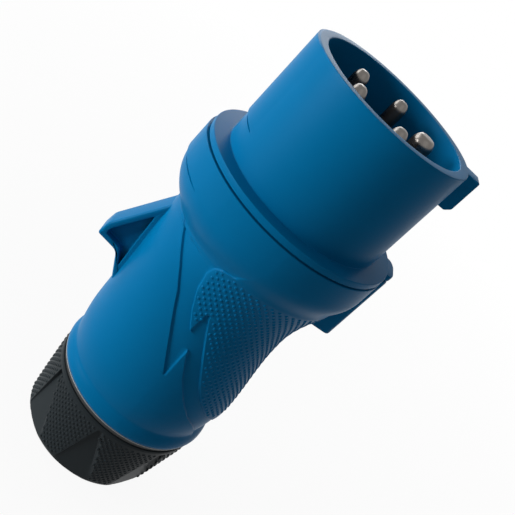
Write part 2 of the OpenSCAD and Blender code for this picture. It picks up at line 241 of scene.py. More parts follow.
# handle: grip with raised fields, flange and rear collar; shares are of its length, from rear to front
handleSizes = {
    "offset": plug["axisY"],  # sideways step between the two axes
    "rearOffset": 0.5,
    "bendShare": 0.66,  # behind this share the grip leans towards the gland's axis
    "bendSpan": 0.586,
    "waistRadius": 26.6,
    "flare": 1.45,
    "flareShare": 0.523,
    "flareSpan": 0.338,
    "riseShare": 0.568,
    "riseEnd": 0.795,
    "riseGrowth": 0.0104,
    "riseSide": 1.1,
    "fallShare": 0.196,
    "fallGrowth": 0.0115,
    "fieldHeight": 0.7,
    "fieldRound": 0.75,  # half the width of a field's rounded edge, in degrees of turn
    "flangeRadius": 34.5,
    "flangeLength": 17.0,
    "shoulderLength": 7.5,
    "shoulderForward": 3.4,
    "shoulderLean": -0.9,
    "shoulderReach": 12.0,
    "shoulderDrop": 7.2,
    "flangeFillet": 2.0,
    "collarRadius": 28.3,
    "collarRound": 9.0,
    "collarTop": 1.4,
    "collarTurnIn": 0.25,
    "collarFillet": 0.5,
    "padHeight": 0.5,
    "padNarrower": 1.9,
    "padLength": 9.8,
    "padLine": 0.35,
    "grooveRadius": 33.1,
    "boreRadius": 30.4,
    "boreDepth": 16.0,
    "seatRadius": 24.5,
    "floorRadius": 22.0,
    "floorHeight": 14.4,
    "floorThick": 4.0,
    "wireHole": 13.0,
    "rearEdge": 27.75,
    "rearChamfer": 0.55,
    "grooveChamfer": 0.15,
    "gripRows": 150,
    "gripRowsStart": 3.0,  # ahead of the rear face
    "gripRowsEnd": 9.6,  # behind the parting line
    "flangeRows": 10,
    "flangeRowsStart": 8.5,  # behind the parting line
    "rearRows": [0.35, 0.8, 1.4, 2.2],  # rows of points ahead of the rear face
    "padRows": [-0.62, -0.54, -0.3, -0.06, 0.0, 0.06, 0.13, 0.4],  # rows about the pad's rear edge
}

neckSizes = {
    "radius": 20.5,
    "length": 17.0,
    "bore": 16.0,
    "threadPitch": 3.0,
    "threadDepth": 1.35,
    "threadTurns": 72,  # points round the thread, and rows along it
    "threadRows": 110,
    "threadStart": 0.3,
    "threadEnd": 1.2,
    "threadRunOut": 1.2,
    "threadInside": 1.5,  # its shell closes this far outside the bore
    "threadCrest": 1.9,  # the thread's ramp is crest - flank |turn - 1/2|, held between 0 and 1
    "threadFlank": 5.2,
    "sleeveDepth": 1.3,  # how far the plain neck lies under the thread's crest
    "chamfer": 0.4,
}

edgeLines = [  # edges of the raised fields on the -X side: shares of the length and angles
    [[0, 181], [0.33, 181], [0.45, 170], [0.59, 156], [0.65, 147], [0.7, 137], [0.75, 126], [0.79, 117],
     [0.88, 104]],
    [[0, 182], [0.33, 182], [0.45, 184], [0.52, 169], [0.65, 154], [0.75, 141], [0.88, 131]],
    [[0, 250], [0.08, 240], [0.16, 225], [0.21, 213], [0.27, 203], [0.34, 194], [0.42, 187], [0.45, 185],
     [0.52, 173], [0.65, 159], [0.75, 150], [0.88, 146]],
    [[0, 254], [0.08, 246], [0.18, 230], [0.27, 208], [0.34, 199], [0.42, 191], [0.52, 177], [0.58, 170],
     [0.65, 164], [0.72, 161.5], [0.755, 163], [0.778, 167], [0.795, 174], [0.88, 184]],
    [[0, 258], [0.08, 250], [0.18, 235], [0.27, 212], [0.34, 203], [0.43, 194], [0.52, 178], [0.6, 179],
     [0.7, 180], [0.785, 184], [0.88, 190]],
    [[0, 263], [0.08, 256], [0.18, 241], [0.22, 228], [0.29, 214], [0.35, 206], [0.43, 198], [0.52, 189],
     [0.6, 181], [0.7, 183], [0.785, 189], [0.88, 196]],
]
# between two edges the skin is raised from the first share to the second
raisedShares = [(0, 1), (0, 0.325), (0, 0.45), (0, 0), (0.515, 1), (0.605, 1), (0.18, 1)]
fieldCells = [26, 4, 16, 6, 6, 6, 26]
stepSpan = 0.008  # share over which a field's front or rear end rises
stepRows = np.linspace(-0.005, 0.005, 6)  # shares of the rows of points about such an end


# place along the handle, from 0 at its rear face to 1 at the parting line
def share(z):
    return (z - plug["rearZ"]) / plug["length"]


# sideways place of the grip's section: offset - (offset - rear offset) ease((bend share - s) / span)
def gripCentre(z):
    h = handleSizes
    return h["offset"] - (h["offset"] - h["rearOffset"]) * ease((h["bendShare"] - share(z)) / h["bendSpan"])


# radius of the grip: waist + flare ease((flare share - s) / span), with a squared fall behind, and a
# squared rise to the flange that fades out towards the rib
def gripRadius(z, angle):
    h, s, length = handleSizes, share(z), plug["length"]
    rise = h["riseGrowth"] * np.maximum(0, (np.minimum(s, h["riseEnd"]) - h["riseShare"]) * length) ** 2
    fall = h["fallGrowth"] * np.maximum(0, (h["fallShare"] - s) * length) ** 2
    rise = rise * (1 - ease(np.sin(angle) * h["riseSide"]))
    return h["waistRadius"] + h["flare"] * ease((h["flareShare"] - s) / h["flareSpan"]) + rise - fall


# angles of the six field edges at shares s, one column each
def edgeAngles(s):
    return np.stack([np.interp(s, *np.array(line).T) for line in edgeLines], 1)


# angles and heights round the whole handle for each share in s; every field edge has its own columns,
# so the small steps are crisp: height = low + (high - low) ease(across the step)
def fieldRows(s):
    s = np.asarray(s)
    edges = edgeAngles(s)
    high = handleSizes["fieldHeight"]
    raised = [high * ease((s - low) / stepSpan + 0.5) * ease((top - s) / stepSpan + 0.5)
              for low, top in raisedShares]
    half = handleSizes["fieldRound"]
    angles, heights = [], []
    for k, cells in enumerate(fieldCells):
        start = np.full(len(s), 90.0) if k == 0 else edges[:, k - 1] + half
        end = np.full(len(s), 270.0) if k == len(edgeLines) else edges[:, k] - half
        t = np.linspace(0, 1, cells + 1)
        angles.append(start[:, None] + (end - start)[:, None] * t)
        heights.append(np.repeat(raised[k][:, None], cells + 1, 1))
        if k < len(edgeLines):
            t = np.linspace(0, 1, 5)[1:-1]
            angles.append(edges[:, k:k + 1] + half * (2 * t - 1))
            heights.append(raised[k][:, None] + (raised[k + 1] - raised[k])[:, None] * ease(t))
    angles, heights = np.hstack(angles), np.hstack(heights)
    back = slice(-2, 0, -1)
    return np.hstack([angles, 180 - angles[:, back]]), np.hstack([heights, heights[:, back]])


# radius of the flange about the sleeve's axis: R - drop (1 - t)^2 over the shoulder, which leans by
# lean sin a from side to side
def shoulderRadius(z, angle):
    h = handleSizes
    neck = plug["splitZ"] - h["flangeLength"] - h["shoulderLength"] + h["shoulderForward"]
    t = (z - neck - h["shoulderLean"] * np.sin(angle)) / h["shoulderReach"]
    rounded = h["flangeRadius"] - h["shoulderDrop"] * np.clip(1 - t, 0, 1) ** 2
    return np.where(t < -0.1, hiddenRadius, rounded)


# radius of the rear collar about the gland's axis: r - c + sqrt(c^2 - (z - top)^2), and behind its top
# r - turn in (top - z)^2
def collarRadius(z):
    h = handleSizes
    top = plug["rearZ"] + h["collarTop"]
    arc = np.sqrt(np.maximum(h["collarRound"] ** 2 - (z - top) ** 2, 0))
    ahead = h["collarRadius"] - h["collarRound"] + arc
    behind = h["collarRadius"] - h["collarTurnIn"] * (top - z) ** 2
    return np.where(z < top + h["collarRound"], np.where(z < top, behind, ahead), hiddenRadius)


# distance from the grip's centre to the outside: the largest of grip, flange, flange pad and collar,
# with a small fillet where they meet
def handleSkin(z, angle, lift):
    h, a = handleSizes, np.radians(angle)
    centre = gripCentre(z)
    reach = gripRadius(z, a) + lift
    toSleeve = h["offset"] - centre
    flange = circleReach(a, toSleeve, shoulderRadius(z, a))
    padStart = plug["splitZ"] - h["padLength"]
    padStep = ease((z - padStart) / plug["padRise"])
    line = h["padLine"] * (np.abs(z - padStart + plug["lineBack"]) < plug["lineHalf"])
    pad = circleReach(a, toSleeve + h["padNarrower"] + h["padHeight"], h["flangeRadius"] - h["padNarrower"])
    flange = np.where(pad > flange, flange + (pad - flange) * padStep - line, flange)
    collar = circleReach(a, -centre, collarRadius(z))
    return smoothMax(smoothMax(reach, flange, h["flangeFillet"]), collar, h["collarFillet"])


# rows run up the outside, over the front face, down the inside and out over the neck:
# x = r cos a, y = centre + r sin a
def handleGrid():
    h, n = handleSizes, neckSizes
    rear, split = plug["rearZ"], plug["splitZ"]
    groove = split - plug["grooveGap"]
    fieldEnds = sorted({end for ends in raisedShares for end in ends} - {0, 1})
    fine = [rear + plug["length"] * (end + stepRows) for end in fieldEnds]
    flangeStart, flangeEnd = split - h["flangeRowsStart"], groove - h["grooveChamfer"]
    z = np.concatenate([rear + np.array(h["rearRows"]),
                        np.linspace(rear + h["gripRowsStart"], split - h["gripRowsEnd"], h["gripRows"]),
                        *fine, split - h["padLength"] + np.array(h["padRows"]),
                        np.linspace(flangeStart, flangeEnd, h["flangeRows"])])
    z = np.unique(np.round(z, 4))
    angles, lifts = fieldRows(share(z))
    z, a = z[:, None], np.radians(angles)
    r = handleSkin(z, angles, lifts)
    outside = np.stack([r * np.cos(a), gripCentre(z) + r * np.sin(a), z + 0 * a], -1)

    # one circle as a row of the grid
    def ring(centre, radius, height, turn):
        flat = np.stack([radius * np.cos(turn), centre + radius * np.sin(turn)], -1)
        return np.concatenate([flat, np.full((len(turn), 1), height)], 1)[None]

    axis = [0, h["offset"]]
    top = outside[-1:].copy()
    top[..., 2] = groove
    across = top[..., :2] - axis
    inward = h["grooveChamfer"] / np.linalg.norm(across, axis=-1, keepdims=True)
    top[..., :2] = across * (1 - inward) + axis
    wall, bore, seat = h["grooveRadius"], h["boreRadius"], split - h["boreDepth"]
    frontProfile = [(wall + 0.1, groove + 0.02), (wall, groove + 0.1), (wall, split - 0.1),
                    (wall - 0.1, split), (bore, split), (bore, seat), (h["seatRadius"], seat - 0.5)]
    floor, end = rear + h["floorHeight"], rear - n["length"]
    under, plain, cut = floor - h["floorThick"], n["radius"] - n["sleeveDepth"], n["chamfer"]
    rearProfile = [(h["floorRadius"], floor), (h["wireHole"], floor - 0.1), (h["wireHole"], under),
                   (n["bore"], under), (n["bore"], end + cut), (n["bore"] + cut, end), (plain - cut, end),
                   (plain, end + cut), (plain, rear), (h["rearEdge"] - h["rearChamfer"], rear),
                   (h["rearEdge"], rear + 0.1)]
    front = [ring(axis[1], radius, height, a[-1]) for radius, height in frontProfile]
    inner = [ring(0, radius, height, a[0]) for radius, height in rearProfile]
    return np.concatenate([outside, top] + front + inner)


handleShell = makeObject("handleShell", [gridShell(handleGrid())], "housing", ["handle"], "blue_plastic")
print("handle", len(handleShell.data.polygons), "faces")


# points spread evenly along an outline's run, each between the two corners beside it
def evenly(points, count):
    closed = np.vstack([points, points[:1]])
    run = np.concatenate([[0], np.cumsum(np.linalg.norm(np.diff(closed, axis=0), axis=1))])
    t = np.linspace(0, run[-1], count, endpoint=False)
    return np.stack([np.interp(t, run, closed[:, k]) for k in range(2)], 1)


# unit normals of a closed outline, pointing away from its inside
def outwardNormals(points):
    along = np.roll(points, -1, 0) - np.roll(points, 1, 0)
    n = np.stack([along[:, 1], -along[:, 0]], 1)
    n /= np.maximum(np.linalg.norm(n, axis=1, keepdims=True), 1e-9)
    ahead = np.roll(points, -1, 0)
    area = np.sum(points[:, 0] * ahead[:, 1] - points[:, 1] * ahead[:, 0])
    return n if area > 0 else -n


# rings of an outline with round end edges: moved in by b (1 - cos a) while the end rises by b sin a
def bevelRings(outline, low, high, bevel, steps=4):
    a = np.linspace(0, np.pi / 2, steps + 1)
    ins = bevel * (1 - np.concatenate([np.cos(a[::-1]), np.cos(a)]))
    ends = np.concatenate([low + bevel * (1 - np.sin(a[::-1])), high - bevel * (1 - np.sin(a))])
    rings = outline[None] - outwardNormals(outline)[None] * ins[:, None, None]
    return np.concatenate([rings, np.broadcast_to(ends[:, None, None], rings.shape[:2] + (1,))], -1)


noseSizes = {  # outline across the locking nose, from its flat top to its wider root
    "reach": 36.5,
    "halfTop": 3.0,
    "halfMiddle": 5.6,
    "drop": 1.1,
    "halfRoot": 7.6,
    "rootReach": 25.6,
    "length": 25.7,
    "topRound": 1.2,
    "rootRound": 0.5,
    "bevel": 0.5,
    "clear": 0.04,  # keeps its ends off the faces beside them
}


# part of the locking nose between two heights: its outline in X and Y carried along Z
def noseShell(low, high):
    n, y = noseSizes, plug["axisY"]
    half = [(n["halfRoot"], y - n["rootReach"], n["rootRound"]),
            (n["halfMiddle"], y - n["reach"] + n["drop"], n["topRound"]),
            (n["halfTop"], y - n["reach"], n["topRound"])]
    corners = [(-x, reach, rounding) for x, reach, rounding in half] + half[::-1]
    return gridShell(bevelRings(roundedProfile(corners, 5), low, high, n["bevel"]), closeRows=False)


grooveZ = plug["splitZ"] - plug["grooveGap"]
noseParts = [noseShell(grooveZ - noseSizes["length"], grooveZ - noseSizes["clear"])]
makeObject("handleNose", noseParts, "housing", ["handle"], "blue_plastic")

ribSizes = {
    "thick": 9.0,
    "web": 3.0,
    "reach": 38.4,
    "root": 25.8,
    "edge": 0.9,
    "rim": 0.35,
    "floorRound": 0.3,
    "points": 180,
}


# outlines in Y and Z carried across X: floor of the recess, its wall, the round rim, the flat face and the
# round outer edge; a corner is (reach from the sleeve's axis, share of the handle, rounding)
def ribGrid():
    r, y = ribSizes, plug["axisY"]

    # round outline with its points spread evenly, placed in the frame
    def outline(corners):
        placed = [(y + out, plug["rearZ"] + s * plug["length"], rounding) for out, s, rounding in corners]
        return evenly(roundedProfile(placed, 7), r["points"])

    edge = outline([(r["root"], 0.72, 0.5), (r["reach"] - 0.6, 0.483, 0.9), (r["reach"], 0.425, 0.9),
                    (r["reach"] - 8.0, 0.413, 1.8), (r["root"] - 0.8, 0.3, 1.5), (r["root"] - 5, 0.29, 0.5),
                    (r["root"] - 3, 0.7, 0.5)])
    recess = outline([(r["root"] + 2.6, 0.62, 0.9), (r["reach"] - 2.3, 0.468, 0.9),
                      (r["reach"] - 2.3, 0.446, 0.7), (r["reach"] - 8.4, 0.433, 0.9),
                      (r["root"] + 1.0, 0.374, 0.9)])
    outEdge, outRecess = outwardNormals(edge), outwardNormals(recess)
    half, web = r["thick"] / 2, r["web"] / 2
    rings = [(recess - outRecess * r["floorRound"], web), (recess, web + r["floorRound"])]
    rings += [(recess + outRecess * r["rim"] * (1 - math.cos(t)), half - r["rim"] * (1 - math.sin(t)))
              for t in np.linspace(0, np.pi / 2, 4)]
    rings += [(edge - outEdge * r["edge"] * (1 - math.sin(t)), half - r["edge"] * (1 - math.cos(t)))
              for t in np.linspace(0, np.pi / 2, 6)]
    side = np.stack([np.column_stack([np.full(len(ring), x), ring]) for ring, x in rings])
    return np.concatenate([side, side[::-1] * [-1, 1, 1]])


makeObject("handleRib", [gridShell(ribGrid(), closeRows=False)], "housing", ["handle"], "blue_plastic")
print("rib and nose made")


dotSizes = {  # raised dots on the grip's fields
    "spacing": 2.4,
    "radius": 0.56,
    "height": 0.26,
    "sides": 8,
    "clear": 2.4,  # degrees kept free beside a field's edge
    "columns": 80,  # to each side of the nose
    "unrollRadius": 27.0,
    "low": 0.2,  # shares between which the dots lie
    "high": 0.785,
    "notchLow": 0.535,  # share of the step between the two fields, and how far it climbs
    "notchRise": 0.09,
}


# low dome, rings of points at r cos t and h sin t, for each centre with its own outward and side directions
def domes(centres, outward, side, radius, height, sides):
    turn = np.linspace(0, 2 * np.pi, sides, endpoint=False)
    ringRadius, ringHeight = np.array([1.0, 0.98, 0.72, 0.28]), np.array([-1.0, 0.05, 0.72, 1.0])
    u = ringRadius[:, None] * np.cos(turn) * radius
    v = ringRadius[:, None] * np.sin(turn) * radius
    w = np.broadcast_to(ringHeight[:, None] * height, u.shape)
    other = np.cross(outward, side)
    points = (centres[:, None, None] + u[..., None] * side[:, None, None]
              + v[..., None] * other[:, None, None] + w[..., None] * outward[:, None, None])
    one = len(ringRadius) * sides
    _, quads, fans = gridShell(points[0], closeRows=False)
    allQuads = (quads[None] + one * np.arange(len(centres))[:, None, None]).reshape(-1, 4)
    allFans = [ring + one * k for k in range(len(centres)) for ring in fans]
    return points.reshape(-1, 3), allQuads, allFans


# diagonal grid on the unrolled grip, kept where it lies on the field below the last edge
def gripDots():
    d = dotSizes
    zs = np.arange(plug["rearZ"] + d["low"] * plug["length"], plug["rearZ"] + d["high"] * plug["length"],
                   d["spacing"] / 2)
    degrees = math.degrees(d["spacing"] / d["unrollRadius"])
    row, col = np.meshgrid(np.arange(len(zs)), np.arange(-d["columns"], d["columns"]), indexing="ij")
    angle = 270 + (col + 0.5 * (row % 2)) * degrees
    z = zs[row]
    s = share(z)
    fromNose = np.abs(angle - 270)
    upper, lower = (270 - np.interp(s, *np.array(edgeLines[k]).T) - d["clear"] for k in (3, 5))
    notch = d["notchLow"] + d["notchRise"] * np.clip((upper - fromNose) / (upper - lower), 0, 1)
    inside = (fromNose < upper) & ((fromNose < lower) | (s > notch)) & (s > d["low"]) & (s < d["high"])
    angle, z = np.radians(angle[inside]), z[inside]
    r = handleSkin(z, np.degrees(angle), handleSizes["fieldHeight"])
    outward = np.stack([np.cos(angle), np.sin(angle), 0 * angle], -1)
    centres = outward * r[:, None]
    centres[:, 1] += gripCentre(z)
    centres[:, 2] = z
    side = np.broadcast_to([0.0, 0.0, 1.0], outward.shape)
    return domes(centres, outward, side, d["radius"], d["height"], d["sides"])


fieldDots = makeObject("fieldDots", [gripDots()], "housing", ["handle"], "blue_plastic", sharpAngle=60)
print("grip dots", len(fieldDots.data.vertices), "points")


frontSizes = {  # front housing: spigot, lip, sleeve and key
    "sleeveRadius": 28.5,
    "sleeveBore": 25.2,
    "lipRadius": 34.3,
    "spigotRadius": 30.3,
    "spigotLength": 15.0,
    "padNarrower": 3.5,
    "padHeight": 0.5,
    "padStart": 8.0,
    "padLine": 0.35,
    "padRows": [-0.62, -0.54, -0.3, -0.06, 0.0, 0.13, 0.4],
    "turns": 240,
    "rimRound": 0.35,
    "keyHalf": 3.5,
    "keyDraft": 0.17,
    "keyHeight": 4.4,
    "keyLength": 12.5,
    "keyDepth": 1.2,  # how far its root reaches into the sleeve
    "keyChamfer": 1.6,
    "keyBevel": 0.45,
    "keyBack": 0.05,  # how far its front stays behind the rim
}


# turned profile about the sleeve's axis; on the outside the pad's own circle stands out where it is larger,
# r = max(sleeve, pad circle), with a fine line behind its edge
def frontGrid():
    f = frontSizes
    lip, rim, split = plug["lipZ"], plug["rimZ"], plug["splitZ"]
    padStart = lip + f["padStart"]
    padAt = np.concatenate([[lip + 1.2], padStart + np.array(f["padRows"]),
                            np.linspace(lip + 12, rim - 2, 12)])
    corners = [(f["sleeveBore"], split - f["spigotLength"], 0.4), (f["sleeveBore"], rim, f["rimRound"]),
               (f["sleeveRadius"], rim, f["rimRound"])]
    corners += [(f["sleeveRadius"], z, 0) for z in padAt[::-1]]
    corners += [(f["sleeveRadius"], lip, 0.12), (f["lipRadius"], lip, 0.3), (f["lipRadius"], split, 0.15),
                (f["spigotRadius"], split, 0.3), (f["spigotRadius"], split - f["spigotLength"], 0.6)]
    grid = lathe(roundedProfile(corners, 5), f["turns"])
    radius = np.hypot(grid[..., 0], grid[..., 1])
    angle = np.arctan2(grid[..., 1], grid[..., 0])
    z = grid[..., 2]
    up = ease((z - padStart) / plug["padRise"])
    pad = circleReach(angle, f["padNarrower"] + f["padHeight"], f["sleeveRadius"] - f["padNarrower"])
    outer = (radius > f["sleeveRadius"] - 0.05) & (z > lip + 1) & (pad > radius)
    line = f["padLine"] * (np.abs(z - padStart + plug["lineBack"]) < plug["lineHalf"])
    grow = np.where(outer, (radius + (pad - radius) * up - line) / radius, 1.0)
    grid[..., :2] *= grow[..., None]
    grid[..., 1] += plug["axisY"]
    return grid


# the key's outline in Y and Z is carried across X and narrows towards its top
def keyGrid():
    f, skin = frontSizes, plug["axisY"] - frontSizes["sleeveRadius"]
    rear, front, cut = plug["rimZ"] - f["keyLength"], plug["rimZ"] - f["keyBack"], f["keyChamfer"]
    root, top = skin + f["keyDepth"], skin - f["keyHeight"]
    corners = [(root, rear, 0.2), (top + cut, rear, 0.5), (top, rear + cut, 0.5), (top, front, 0.5),
               (root, front, 0.2)]
    rings = bevelRings(roundedProfile(corners), -f["keyHalf"], f["keyHalf"], f["keyBevel"])
    grid = rings[..., [2, 0, 1]].copy()
    grid[..., 0] *= 1 - f["keyDraft"] * np.clip((root - grid[..., 1]) / f["keyHeight"], 0, 1)
    return grid


frontShell = makeObject("frontShell", [gridShell(frontGrid())], "housing", ["front_housing"], "blue_plastic")
makeObject("frontKey", [gridShell(keyGrid(), closeRows=False)], "housing", ["front_housing"], "blue_plastic")
lipNoseParts = [noseShell(plug["splitZ"] + noseSizes["clear"], plug["lipZ"] - noseSizes["clear"])]
makeObject("lipNose", lipNoseParts, "housing", ["front_housing"], "blue_plastic")
print("front shell", len(frontShell.data.polygons), "faces")


pinSizes = {  # contacts, on a circle about the sleeve's axis
    "circle": 13.5,
    "poleRadius": 2.5,
    "earthRadius": 3.5,
    "collarRadius": 4.5,
    "collarLength": 19.0,
    "wireRadius": 2.1,
    "wireDepth": 11.0,
    "rootRelief": 0.3,  # the shank is thinner up to just in front of the insert's face
    "rootFront": 0.5,
    "tip": 1.15,
    "tipLength": 1.9,
    "tipDome": 0.12,
    "turns": 48,
}
pinNodes = ["earth_pin", "line_1_pin", "line_2_pin", "line_3_pin", "neutral_pin"]


# a pin is a turned profile, (radius, height, rounding), about its own place on the circle; the earth pin is
# first, on the key's side, and the others follow it a fifth of a turn apart
def contactShell(index, name):
    p = pinSizes
    low, high = (corner[2] for corner in nodeBox(name))
    r = p["poleRadius"] if index else p["earthRadius"]
    shank, root, collar = r - p["rootRelief"], insertHigh[2] + p["rootFront"], low + p["collarLength"]
    corners = [(p["wireRadius"], low, 0.1), (p["collarRadius"], low, 0.3), (p["collarRadius"], collar, 0.3),
               (shank, collar, 0.1), (shank, root, 0.05), (r, root, 0.1), (r, high - p["tipLength"], 1.1),
               (r - p["tip"], high - p["tipDome"], 0.7), (0.02, high, 0), (0.02, low + p["wireDepth"], 0),
               (p["wireRadius"], low + p["wireDepth"], 0.1)]
    a = math.radians(270 + 360 / len(pinNodes) * index)
    return gridShell(lathe(roundedProfile(corners, 5), p["turns"], plug["axisY"] + p["circle"] * math.sin(a),
                           p["circle"] * math.cos(a)))


for k, name in enumerate(pinNodes):
    pieceName = name.replace("_pin", "Contact").replace("_", "")
    makeObject(pieceName, [contactShell(k, name)], "housing", [name], "plated_brass")
print("contacts made")


# screw thread on the neck: r = root + depth ramp(z / pitch - a / 2 pi), with a flat crest and a flat root
def neckThreadGrid():
    n = neckSizes
    low, high = plug["rearZ"] - n["length"] + n["threadStart"], plug["rearZ"] - n["threadEnd"]
    z = np.linspace(low, high, n["threadRows"])[:, None]
    a = np.linspace(0, 2 * np.pi, n["threadTurns"], endpoint=False)[None]
    turn = (z / n["threadPitch"] - a / (2 * np.pi)) % 1
    ramp = np.clip(n["threadCrest"] - np.abs(turn - 0.5) * n["threadFlank"], 0, 1)
    ends = ease((z - low) / n["threadRunOut"]) * ease((high - z) / n["threadRunOut"])
    r = n["radius"] - n["threadDepth"] + n["threadDepth"] * ramp * ends
    outer = np.stack([r * np.cos(a), r * np.sin(a), z + 0 * a], -1)
    inside = n["bore"] + n["threadInside"]
    return np.concatenate([outer, lathe(np.array([[inside, high], [inside, low]]), n["threadTurns"])])


makeObject("neckThread", [gridShell(neckThreadGrid())], "housing", ["handle"], "blue_plastic", sharpAngle=50)

ringSizes = {  # the two thin rings between handle and nut
    "bore": 20.7,
    "turns": 160,
    "lipReach": 0.8,  # how far the slip ring's thin lip stands out
    "lipThick": 0.35,
    "sealClear": 0.02,
    "sealRound": 0.4,
}


# turned ring from its outer profile, closed along its bore
def ringShell(outer, low, high):
    corners = outer + [(ringSizes["bore"], high, 0.1), (ringSizes["bore"], low, 0.1)]
    return gridShell(lathe(roundedProfile(corners), ringSizes["turns"]))


slipReach, slipTop = washerHigh[0], washerHigh[2]
slipBody, slipUnder = slipReach - ringSizes["lipReach"], slipTop - ringSizes["lipThick"]
slipOuter = [(slipBody - 0.1, washerLow[2], 0.1), (slipBody, slipUnder - 0.1, 0.1),
             (slipReach, slipUnder, 0.1), (slipReach, slipTop, 0.1)]
makeObject("slipRing", [ringShell(slipOuter, washerLow[2], slipTop)], "housing", ["slip_washer"],
           "grey_plastic")
sealBottom, sealTop = sealLow[2] + ringSizes["sealClear"], sealHigh[2] - ringSizes["sealClear"]
sealOuter = [(sealHigh[0], z, ringSizes["sealRound"]) for z in (sealBottom, sealTop)]
makeObject("sealRing", [ringShell(sealOuter, sealBottom, sealTop)], "housing", ["neck_seal"], "black_rubber")

nutSizes = {
    "frontRadius": 27.7,
    "rearRadius": 24.7,
    "rearRound": 3.0,
    "rearGrowth": 0.25,  # how far outside the rear radius that round ends
    "bore": 12.0,
    "threadBore": 20.8,
    "floor": 8.2,
    "facets": 7,
    "facetStart": 174.7,
    "facetDepth": 1.2,
    "facetFront": 1.8,
    "facetRear": -1.0,  # height at which a facet has its full width
    "stepTurn": 10.0,
    "ridgeTurn": 26.0,
    "stepSoft": 0.5,  # degrees over which a facet's deep side rises
    "ridgePast": 0.3,  # degrees by which its columns run past its other side
    "rows": 26,
    "rowsClear": (0.8, 1.6),  # how far they stay off the rear round and the facets' front
    "tipRows": [-1, -0.5, -0.2, 0, 0.2],  # rows of points about the facets' front points
    "rimRows": [-1.0, -0.6],  # rows behind its front edge
    "facetColumns": 15,
    "skinColumns": 13,
    "dotSpacing": 2.15,
    "dotRadius": 0.62,
    "dotHeight": 0.25,
    "dotSides": 6,
    "dotLow": 3.2,
    "dotClear": (1.6, 1.8),  # degrees kept free beside a facet's two sides
    "unrollRadius": 26.0,
}


# distance along a ray (cos a, sin a) at height z to the plane through three points: (d - nz z) / (n . ray)
def planeReach(points, angle, z):
    n = np.cross(points[1] - points[0], points[2] - points[0])
    return (n @ points[0] - n[2] * z) / (n[0] * np.cos(angle) + n[1] * np.sin(angle))


# the nut's profile is turned, and each thumb facet cuts it back to a plane: r = min(profile, plane);
# columns follow the facets' two sides, which spread from the front point to the rear
def nutGrid():
    n, length = nutSizes, nutHigh[2]
    skin = [n["rearRadius"], n["frontRadius"]]
    arc = np.radians(np.linspace(-90, 0, 9))
    rear = np.stack([skin[0] - n["rearRound"] + n["rearGrowth"] + n["rearRound"] * np.cos(arc),
                     n["rearRound"] + n["rearRound"] * np.sin(arc)], 1)
    front = length - n["facetFront"]
    clear = n["rowsClear"]
    zs = np.concatenate([np.linspace(n["rearRound"] + clear[0], front - clear[1], n["rows"]),
                         front + np.array(n["tipRows"]), length + np.array(n["rimRows"])])
    side = np.stack([np.interp(zs, [0, length], skin), zs], 1)
    inner = roundedProfile([(skin[1] - 0.02, length, 0.45), (n["threadBore"], length, 0.5),
                            (n["threadBore"], n["floor"], 0.1), (n["bore"], n["floor"], 0.3),
                            (n["bore"], 0, 0.5)])
    profile = np.concatenate([rear, side, inner[1:]])
    r, z = profile[:, :1], profile[:, 1:]
    spread = np.clip((front - z) / (front - n["facetRear"]), 0, 1)
    outside = (np.arange(len(profile)) < len(rear) + len(side))[:, None]
    columns, radii = [], []
    for k in range(n["facets"]):
        start = n["facetStart"] + 360 * k / n["facets"]
        left, right = start - n["stepTurn"] * spread, start + n["ridgeTurn"] * spread + n["ridgePast"]
        after = start + 360 / n["facets"] - n["stepTurn"] * spread - n["stepSoft"]
        inFacet = left + (right - left) * np.linspace(0, 1, n["facetColumns"])[None]
        between = right + (after - right) * np.linspace(0, 1, n["skinColumns"])[None, 1:]
        tips = np.array([(skin[0] + (skin[1] - skin[0]) * front / length - n["facetDepth"], start, front),
                         (skin[0] - n["facetDepth"] / 4, start - n["stepTurn"], n["facetRear"]),
                         (skin[0] + 0.1, start + n["ridgeTurn"], n["facetRear"])])
        turned = np.radians(tips[:, 1])
        points = np.stack([tips[:, 0] * np.cos(turned), tips[:, 0] * np.sin(turned), tips[:, 2]], 1)
        cut = planeReach(points, np.radians(inFacet), z)
        cut = np.where(outside & (z < front), np.minimum(cut, r), r)
        columns += [inFacet, between]
        radii += [cut, np.broadcast_to(r, between.shape)]
    a, r = np.radians(np.hstack(columns)), np.hstack(radii)
    return np.stack([r * np.cos(a), r * np.sin(a), z + 0 * a], -1)


# diagonal grid of low domes on the nut's skin, kept where it lies between two facets
def nutDots():
    n, length = nutSizes, nutHigh[2]
    front, pitch = length - n["facetFront"], 360 / n["facets"]
    zs = np.arange(n["dotLow"], front, n["dotSpacing"] / 2)
    degrees = math.degrees(n["dotSpacing"] / n["unrollRadius"])
    row, col = np.meshgrid(np.arange(len(zs)), np.arange(int(pitch / degrees) + 2), indexing="ij")
    beside, z = (col + 0.5 * (row % 2)) * degrees, zs[row]
    spread = (front - z) / (front - n["facetRear"])
    low = n["ridgeTurn"] * spread + n["dotClear"][0]
    high = pitch - n["stepTurn"] * spread - n["dotClear"][1]
    inside = (beside > low) & (beside < high)
    turns = n["facetStart"] + pitch * np.arange(n["facets"])[:, None] + beside[inside][None]
    a, z = np.radians(turns.ravel()), np.tile(z[inside], n["facets"])
    r = n["rearRadius"] + (n["frontRadius"] - n["rearRadius"]) * z / length
    outward = np.stack([np.cos(a), np.sin(a), 0 * a], -1)
    centres = outward * r[:, None]
    centres[:, 2] = z
    return domes(centres, outward, np.broadcast_to([0.0, 0.0, 1.0], outward.shape), n["dotRadius"],
                 n["dotHeight"], n["dotSides"])


makeObject("nutKnurl", [nutDots()], "nut", ["gland_nut"], "charcoal_plastic", sharpAngle=60)
nutShell = makeObject("nutShell", [gridShell(nutGrid())], "nut", ["gland_nut"], "charcoal_plastic")
print("gland nut", len(nutShell.data.polygons), "faces")


